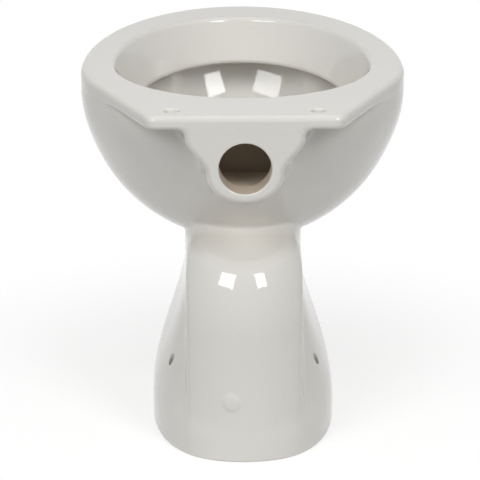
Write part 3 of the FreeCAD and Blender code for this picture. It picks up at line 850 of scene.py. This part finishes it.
def smoothed(piece):
    """Smooth shading in which every corner on the outer skin takes the skin's own normal."""
    mesh = piece.data
    mesh.shade_smooth()
    mesh.set_sharp_from_angle(angle=math.radians(SHARP_DEGREES))
    place = vertex_places(mesh)
    on_skin = np.abs(pan_field(place)[0]) < ON_SKIN
    normal = np.zeros_like(place)
    normal[on_skin] = skin_normals(place[on_skin])
    corner = np.empty(len(mesh.loops) * 3)
    mesh.corner_normals.foreach_get("vector", corner)
    corner = corner.reshape(-1, 3)
    vertex = np.empty(len(mesh.loops), dtype=np.int32)
    mesh.loops.foreach_get("vertex_index", vertex)
    close = np.sum(normal[vertex] * corner, axis=1) > SAME_SIDE
    corner[close] = normal[vertex][close]
    mesh.normals_split_custom_set(corner.tolist())


def hole_profile(radius, depth, flare):
    """Bar profile of a drilled hole whose mouth is rounded by a flare."""
    swing = np.linspace(0, math.pi / 2, FLARE_STEPS)
    mouth = [(radius + flare * (1 - math.cos(turn)), flare * (math.sin(turn) - 1) + FLARE_RISE)
             for turn in swing]
    return [(radius, -depth)] + mouth + [(radius + flare, BAR_OUTSIDE)]


def seat_bars():
    """Bars that cut the two seat holes."""
    seat = mounts["seat_holes"]
    spacing = seat["dims"]["spacing_x_mm"] * MILLIMETRE / 2
    radius = seat["dims"]["hole_r_mm"] * MILLIMETRE
    profile = hole_profile(radius, SEAT_HOLE_DEPTH, SEAT_HOLE_FLARE)
    return [bar_mesh("seat_hole", (side * spacing, seat["pos_m"][1], TOP), (0, 0, 1), profile)
            for side in (-1, 1)]


def inlet_bars():
    """Bar that cuts the flush inlet, and the block that opens the chamber behind it."""
    profile = hole_profile(INLET_RADIUS, INLET_DEPTH, INLET_FLARE)
    bore = bar_mesh("inlet", (0, REAR, INLET_Z), (0, -1, 0), profile, INLET_SIDES)
    chamber = block_mesh("flush_chamber",
                         (-CHAMBER_HALF, CHAMBER_START, INLET_Z - INLET_RADIUS),
                         (CHAMBER_HALF, CHAMBER_END, INLET_Z + INLET_RADIUS))
    return bore, chamber


def floor_bars():
    """Bars that cut the two slanting floor-screw holes."""
    bars = []
    for name in ("floor_hole_left", "floor_hole_right"):
        hole = mounts[name]
        radius = hole["dims"]["r_mm"] * MILLIMETRE
        profile = [(radius, end) for end in FLOOR_HOLE_SPAN]
        bars.append(bar_mesh(name, hole["pos_m"], hole["axis"], profile, FLOOR_HOLE_SIDES))
    return bars


def add_body(glaze, bare):
    """Rim, bowl with its horn, and pedestal as three closed pieces under one run of skin."""
    rim_skin, bowl_skin, pedestal_skin = outer_skin()
    rim = ring_piece("rim_and_deck", rim_rows(rim_skin))
    bowl = ring_piece("bowl_with_horn", bowl_rows(bowl_skin))
    pedestal = ring_piece("pedestal_and_foot", pedestal_rows(pedestal_skin))
    drilled(rim, *seat_bars())
    drilled(bowl, *inlet_bars())
    drilled(pedestal, *floor_bars())
    for piece in (rim, bowl, pedestal):
        smoothed(piece)
        piece.data.materials.clear()
        piece.data.materials.append(glaze)
        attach(piece, "root")
    bowl.data.materials.append(bare)
    bore_faces(bowl.data)
    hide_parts("rim")
    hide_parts("bowl", "inlet_horn")
    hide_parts("pedestal", "drain_plug")


def bore_faces(mesh):
    """Gives the faces inside the inlet bore the second material."""
    middle = np.empty(len(mesh.polygons) * 3)
    mesh.polygons.foreach_get("center", middle)
    middle = middle.reshape(-1, 3)
    x, y, z = parts(middle)
    inside = np.abs(x) < CHAMBER_HALF + ON_SKIN
    inside &= np.abs(z - INLET_Z) < INLET_RADIUS + ON_SKIN
    inside &= (y < CHAMBER_END) & (pan_field(middle)[0] < -BORE_SKIN)
    mesh.polygons.foreach_set("material_index", inside.astype(np.int32))


def node(tree, kind, **values):
    """New shader node with its plain settings and input values."""
    made = tree.nodes.new(kind)
    for name, value in values.items():
        if name in made.inputs:
            made.inputs[name].default_value = value
        else:
            setattr(made, name, value)
    return made


def china_mottle():
    """Node group of fired china: slow patches, fine ripple and sparse specks in object space."""
    group = bpy.data.node_groups.new("china_mottle", "ShaderNodeTree")
    for name in SCALE_SOCKETS:
        group.interface.new_socket(name, in_out="INPUT", socket_type="NodeSocketFloat")
    for name in ("Patch", "Ripple", "Speck"):
        group.interface.new_socket(name, in_out="OUTPUT", socket_type="NodeSocketFloat")
    entry = node(group, "NodeGroupInput")
    leave = node(group, "NodeGroupOutput")
    place = node(group, "ShaderNodeTexCoord")
    patch = node(group, "ShaderNodeTexNoise", Detail=3.0, Roughness=0.5)
    ripple = node(group, "ShaderNodeTexNoise", Detail=2.0, Roughness=0.4)
    cells = node(group, "ShaderNodeTexVoronoi", feature="F1")
    speck = node(group, "ShaderNodeMapRange")
    speck.inputs["From Min"].default_value, speck.inputs["From Max"].default_value = SPECK_RADII
    speck.inputs["To Min"].default_value, speck.inputs["To Max"].default_value = 1.0, 0.0
    for texture, name in zip((patch, ripple, cells), SCALE_SOCKETS):
        group.links.new(place.outputs["Object"], texture.inputs["Vector"])
        group.links.new(entry.outputs[name], texture.inputs["Scale"])
    group.links.new(cells.outputs["Distance"], speck.inputs["Value"])
    group.links.new(patch.outputs["Fac"], leave.inputs["Patch"])
    group.links.new(ripple.outputs["Fac"], leave.inputs["Ripple"])
    group.links.new(speck.outputs["Result"], leave.inputs["Speck"])
    return group


def china(name, group, scales, pale, deep, speck, rough, ripple):
    """Material of one china finish: mottled colour with specks, rippled roughness and bump."""
    material = bpy.data.materials.new(name)
    material.use_nodes = True
    tree = material.node_tree
    shader = tree.nodes["Principled BSDF"]
    shader.inputs["IOR"].default_value = CHINA_IOR
    mottle = node(tree, "ShaderNodeGroup", node_tree=group)
    for socket, value in zip(SCALE_SOCKETS, scales):
        mottle.inputs[socket].default_value = value
    colour = node(tree, "ShaderNodeMix", data_type="RGBA")
    colour.inputs[6].default_value = (*pale, 1)
    colour.inputs[7].default_value = (*deep, 1)
    specked = node(tree, "ShaderNodeMix", data_type="RGBA")
    specked.inputs[7].default_value = (*speck, 1)
    gloss = node(tree, "ShaderNodeMapRange")
    gloss.inputs["To Min"].default_value, gloss.inputs["To Max"].default_value = rough
    bump = node(tree, "ShaderNodeBump", Strength=ripple[0], Distance=ripple[1])
    tree.links.new(mottle.outputs["Patch"], colour.inputs["Factor"])
    tree.links.new(colour.outputs[2], specked.inputs[6])
    tree.links.new(mottle.outputs["Speck"], specked.inputs["Factor"])
    tree.links.new(specked.outputs[2], shader.inputs["Base Color"])
    tree.links.new(mottle.outputs["Ripple"], gloss.inputs["Value"])
    tree.links.new(gloss.outputs["Result"], shader.inputs["Roughness"])
    tree.links.new(mottle.outputs["Ripple"], bump.inputs["Height"])
    tree.links.new(bump.outputs["Normal"], shader.inputs["Normal"])
    return material


def add_materials():
    """White glaze for what is seen, and bare china for the bore and the hidden castings."""
    group = china_mottle()
    return china("white_glaze", group, **GLAZE), china("bare_china", group, **BARE_CHINA)


def add_castings(glaze, bare):
    """Finishes of the castings that keep their own solid."""
    for name in BARE_NODES:
        for slot in frame["nodes"][name].material_slots:
            slot.material = bare
    deflector = frame["nodes"]["flush_deflector"]
    for slot in deflector.material_slots:
        slot.material = glaze
    deflector.data.materials.append(bare)
    bare_slot = len(deflector.data.materials) - 1
    for face in deflector.data.polygons:
        if face.normal.y < FACES_REAR:
            face.material_index = bare_slot


def area_lamp(name, place, size, power):
    """Rectangular soft lamp at a place, turned to the pan."""
    lamp = bpy.data.lights.new(name, "AREA")
    lamp.shape = "RECTANGLE"
    lamp.size, lamp.size_y = size
    lamp.energy = power
    holder = bpy.data.objects.new(name, lamp)
    holder.location = place
    holder.rotation_euler = (Vector(LAMP_AIM) - Vector(place)).to_track_quat("-Z", "Y").to_euler()
    bpy.context.scene.collection.objects.link(holder)


def white_where_seen(tree, lit, output, white):
    """Shows white instead of a lit shader to camera, glossy and transmitted rays."""
    path = node(tree, "ShaderNodeLightPath")
    seen = node(tree, "ShaderNodeMath", operation="MAXIMUM")
    either = node(tree, "ShaderNodeMath", operation="MAXIMUM")
    mix = node(tree, "ShaderNodeMixShader")
    tree.links.new(path.outputs["Is Camera Ray"], seen.inputs[0])
    tree.links.new(path.outputs["Is Glossy Ray"], seen.inputs[1])
    tree.links.new(seen.outputs[0], either.inputs[0])
    tree.links.new(path.outputs["Is Transmission Ray"], either.inputs[1])
    tree.links.new(either.outputs[0], mix.inputs["Fac"])
    tree.links.new(lit, mix.inputs[1])
    tree.links.new(white, mix.inputs[2])
    tree.links.new(mix.outputs[0], output)


def radial_mix(tree, away, span, near, far):
    """Mix of a near and a far shader that changes smoothly over a span of distances."""
    fade = node(tree, "ShaderNodeMapRange", interpolation_type="SMOOTHSTEP")
    fade.inputs["From Min"].default_value, fade.inputs["From Max"].default_value = span
    mix = node(tree, "ShaderNodeMixShader")
    tree.links.new(away.outputs["Value"], fade.inputs["Value"])
    tree.links.new(fade.outputs["Result"], mix.inputs["Fac"])
    tree.links.new(near.outputs[0], mix.inputs[1])
    tree.links.new(far.outputs[0], mix.inputs[2])
    return mix


def grey(tone):
    """Opaque grey of a tone."""
    return (tone, tone, tone, 1)


def floor_material():
    """White table with a soft shadow for the eye, and a limited pale table for the light."""
    material = bpy.data.materials.new("pale_floor")
    material.use_nodes = True
    tree = material.node_tree
    tree.nodes.remove(tree.nodes["Principled BSDF"])
    place = node(tree, "ShaderNodeTexCoord")
    away = node(tree, "ShaderNodeVectorMath", operation="LENGTH")
    tree.links.new(place.outputs["Object"], away.inputs[0])
    table = radial_mix(tree, away, TABLE_SPAN,
                       node(tree, "ShaderNodeBsdfDiffuse", Color=grey(TABLE_TONE)),
                       node(tree, "ShaderNodeBsdfDiffuse", Color=grey(BEYOND_TABLE_TONE)))
    shadow = node(tree, "ShaderNodeBsdfDiffuse", Color=grey(SHADOW_TONE))
    glow = node(tree, "ShaderNodeEmission", Color=WHITE, Strength=SHADOW_GLOW)
    both = node(tree, "ShaderNodeAddShader")
    tree.links.new(shadow.outputs[0], both.inputs[0])
    tree.links.new(glow.outputs[0], both.inputs[1])
    white = node(tree, "ShaderNodeEmission", Color=WHITE, Strength=1.0)
    seen = radial_mix(tree, away, SHADOW_SPAN, both, white)
    output = tree.nodes["Material Output"].inputs["Surface"]
    white_where_seen(tree, table.outputs[0], output, seen.outputs[0])
    return material


def add_floor():
    """Square floor round the pan."""
    corners = [(-FLOOR_HALF, -FLOOR_HALF, 0), (FLOOR_HALF, -FLOOR_HALF, 0),
               (FLOOR_HALF, FLOOR_HALF, 0), (-FLOOR_HALF, FLOOR_HALF, 0)]
    mesh = bpy.data.meshes.new("floor")
    mesh.from_pydata(corners, [], [(0, 1, 2, 3)])
    mesh.materials.append(floor_material())
    shown("floor", mesh)


def add_surround():
    """World that looks white and lights the pan a little from all sides."""
    world = bpy.data.worlds.new("surround")
    bpy.context.scene.world = world
    world.use_nodes = True
    tree = world.node_tree
    lit = tree.nodes["Background"]
    lit.inputs["Color"].default_value = SURROUND_COLOUR
    lit.inputs["Strength"].default_value = SURROUND_LIGHT
    seen = node(tree, "ShaderNodeBackground", Color=WHITE, Strength=1.0)
    output = tree.nodes["World Output"].inputs["Surface"]
    white_where_seen(tree, lit.outputs[0], output, seen.outputs[0])


def add_studio():
    """Pale floor, even surround, two soft lamps behind the camera and one overhead."""
    add_floor()
    add_surround()
    for lamp in LAMPS:
        area_lamp(*lamp)


def add_camera():
    """Long-lens camera behind the pan, a little above it, as the photograph was taken."""
    camera = bpy.data.cameras.new("camera")
    camera.sensor_width = SENSOR_WIDTH
    camera.lens = FOCAL_PIXELS / IMAGE_PIXELS * camera.sensor_width
    camera.clip_start = NEAR_CLIP
    holder = bpy.data.objects.new("camera", camera)
    holder.location = (-CAMERA_DISTANCE * math.sin(CAMERA_SWING),
                       -CAMERA_DISTANCE * math.cos(CAMERA_SWING), CAMERA_HEIGHT)
    holder.rotation_euler = (math.pi / 2 - CAMERA_PITCH, 0, CAMERA_TURN - CAMERA_SWING)
    bpy.context.scene.collection.objects.link(holder)
    bpy.context.scene.camera = holder


bpy.context.scene.view_settings.view_transform = "Standard"
glaze, bare = add_materials()
add_body(glaze, bare)
add_castings(glaze, bare)
add_studio()
add_camera()
bpy.context.view_layer.update()
